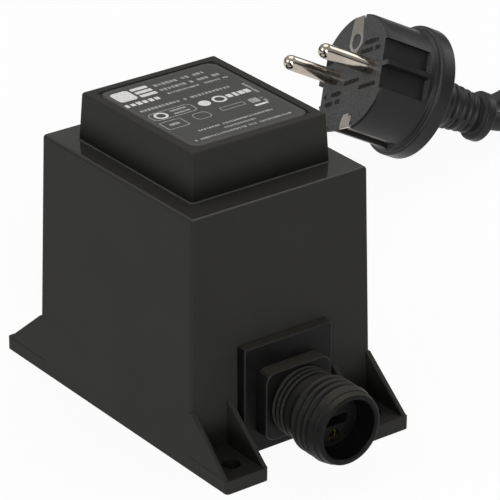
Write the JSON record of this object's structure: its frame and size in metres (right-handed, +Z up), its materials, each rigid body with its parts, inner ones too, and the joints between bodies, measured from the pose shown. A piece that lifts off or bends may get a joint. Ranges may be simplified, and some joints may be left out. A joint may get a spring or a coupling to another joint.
{
  "type": "potted mains transformer",
  "caption": "Potted transformer block on a screw-down base, with a threaded low-voltage socket on one end and a coiled mains lead with an earthed moulded plug on the other.",
  "frame": {"origin": "centre of the four foot screw holes, on the base plane", "axes": "+X out of the low-voltage socket, +Z up from the base, +Y to the side where the mains lead is coiled"},
  "size_m": [0.1922, 0.2992, 0.0834],
  "materials": {
    "housing_plastic": "charcoal, finely textured walls",
    "label_print": "satin foil with pale grey print",
    "socket_plastic": "charcoal, slightly glossier than the walls",
    "insert_plastic": "black",
    "contact_brass": "machined",
    "grommet_rubber": "soft black",
    "sheath_rubber": "black, matte",
    "lamination_steel": "rolled electrical sheet",
    "bobbin_plastic": "glass-filled nylon",
    "winding_copper": "enamelled copper wire",
    "tape_yellow": "polyester tape",
    "tape_cream": "polyester tape",
    "fuse_body": "moulded",
    "tinned_metal": "tinned",
    "wire_brown": "insulation",
    "wire_blue": "insulation",
    "wire_earth": "green and yellow insulation",
    "wire_red": "insulation",
    "wire_black": "insulation",
    "potting_resin": "cast resin",
    "tie_rubber": "black strap",
    "plug_plastic": "black moulded, matte",
    "plug_nickel": "nickel plated"
  },
  "bodies": {
    "root": {"housing": "housing_plastic", "rating_label": "label_print", "output_socket": "socket_plastic", "socket_insert": "insert_plastic", "socket_contacts": "contact_brass", "cord_grommet": "grommet_rubber", "lead_sheath": "sheath_rubber", "core_e_stack": "lamination_steel", "core_i_stack": "lamination_steel", "bobbin": "bobbin_plastic", "primary_winding": "winding_copper", "secondary_winding": "winding_copper", "primary_tape": "tape_yellow", "secondary_tape": "tape_cream", "thermal_fuse": "fuse_body", "terminal_pins": "tinned_metal", "live_wire": "wire_brown", "neutral_wire": "wire_blue", "earth_wire": "wire_earth", "earth_tag": "tinned_metal", "earth_screw": "tinned_metal", "output_wire_a": "wire_red", "output_wire_b": "wire_black", "potting_compound": "potting_resin", "mains_cord": "sheath_rubber", "cord_coil": "sheath_rubber", "cord_tail": "sheath_rubber", "coil_tie": "tie_rubber", "plug_body": "plug_plastic", "plug_pins": "plug_nickel", "earth_clips": "plug_nickel", "earth_sleeve": "plug_nickel"}
  },
  "joints": []
}
